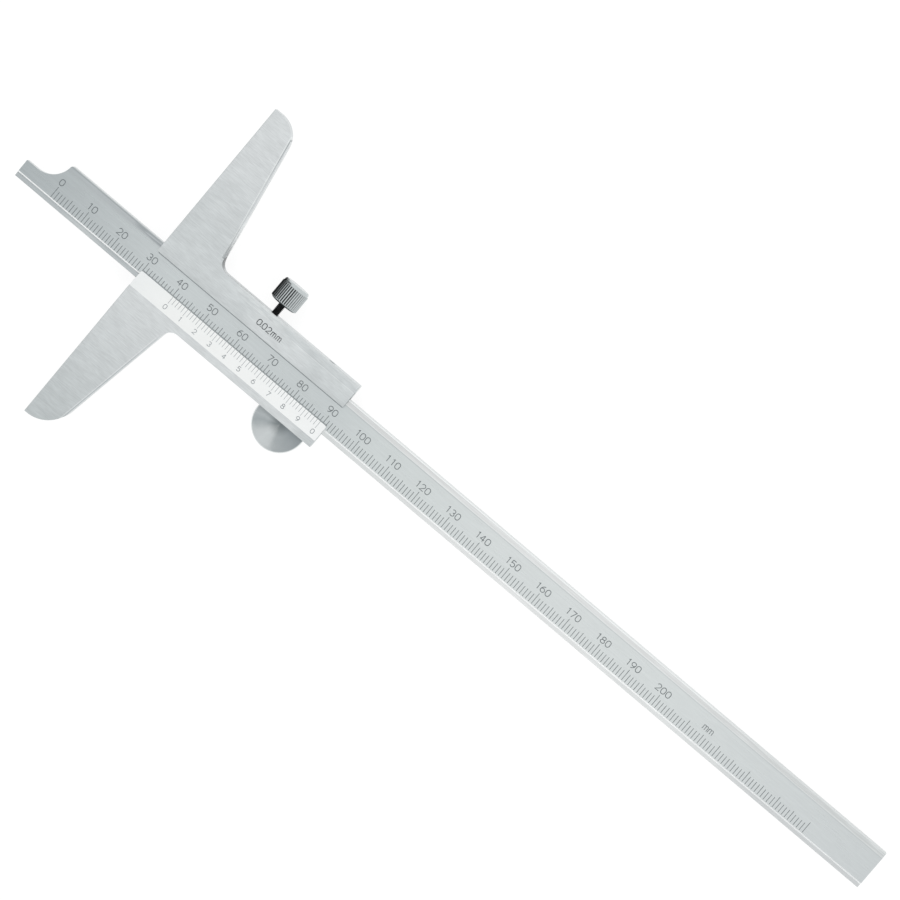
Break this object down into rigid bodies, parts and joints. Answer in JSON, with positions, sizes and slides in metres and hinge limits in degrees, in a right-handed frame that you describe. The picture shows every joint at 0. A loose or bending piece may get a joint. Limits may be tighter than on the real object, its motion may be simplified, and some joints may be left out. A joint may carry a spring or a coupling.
{
  "type": "vernier depth gauge",
  "caption": "Sliding graduated beam with a stepped tip, held in a T-shaped measuring base with a vernier plate, a knurled clamp screw and a thumb disc.",
  "frame": {"origin": "middle of the base's measuring face, on the centreline of the beam's slot and halfway through the base's thickness", "axes": "+X along the beam, away from its measuring tip; +Y along the measuring face, towards the clamp screw; +Z the outward normal of the graduated front"},
  "size_m": [0.2804, 0.1, 0.0079],
  "materials": {
    "base_steel": "satin ground stainless steel",
    "beam_steel": "fine satin stainless steel with dark engraved graduations",
    "vernier_satin": "pale satin chrome plate with grey graduations",
    "bright_steel": "bright turned steel",
    "knurled_chrome": "chromed, straight knurled",
    "black_oxide": "black oxide steel",
    "spring_bronze": "rolled spring bronze",
    "brass": "turned brass",
    "screw_steel": "plain machined steel"
  },
  "bodies": {
    "base": {"base_slider": "base_steel", "vernier_plate": "vernier_satin", "vernier_screws": "screw_steel", "gib_spring": "spring_bronze", "gib_screw": "screw_steel", "thumb_disc": "bright_steel", "thumb_disc_screws": "screw_steel"},
    "beam": {"beam": "beam_steel"},
    "clamp_pad": {"clamp_pad": "brass"},
    "clamp_screw": {"clamp_stud": "black_oxide", "clamp_knob": "knurled_chrome"}
  },
  "joints": [
    {"name": "depth_slide", "type": "slide", "parent": "base", "child": "beam", "axis": [-1, 0, 0], "range_m": [-0.0403, 0.1597]},
    {"name": "clamp_travel", "type": "slide", "parent": "base", "child": "clamp_pad", "axis": [0, 1, 0], "range_m": [-0.0001, 0.0008]},
    {"name": "clamp_turn", "type": "hinge", "parent": "clamp_pad", "child": "clamp_screw", "pos_m": [0.033, 0.0132, 0.00015], "axis": [0, 1, 0], "range_deg": [-90.5, 720.5]}
  ],
  "couplings": [
    {"joint": "clamp_turn", "follows": "clamp_travel", "rad_per_m": 15708}
  ]
}
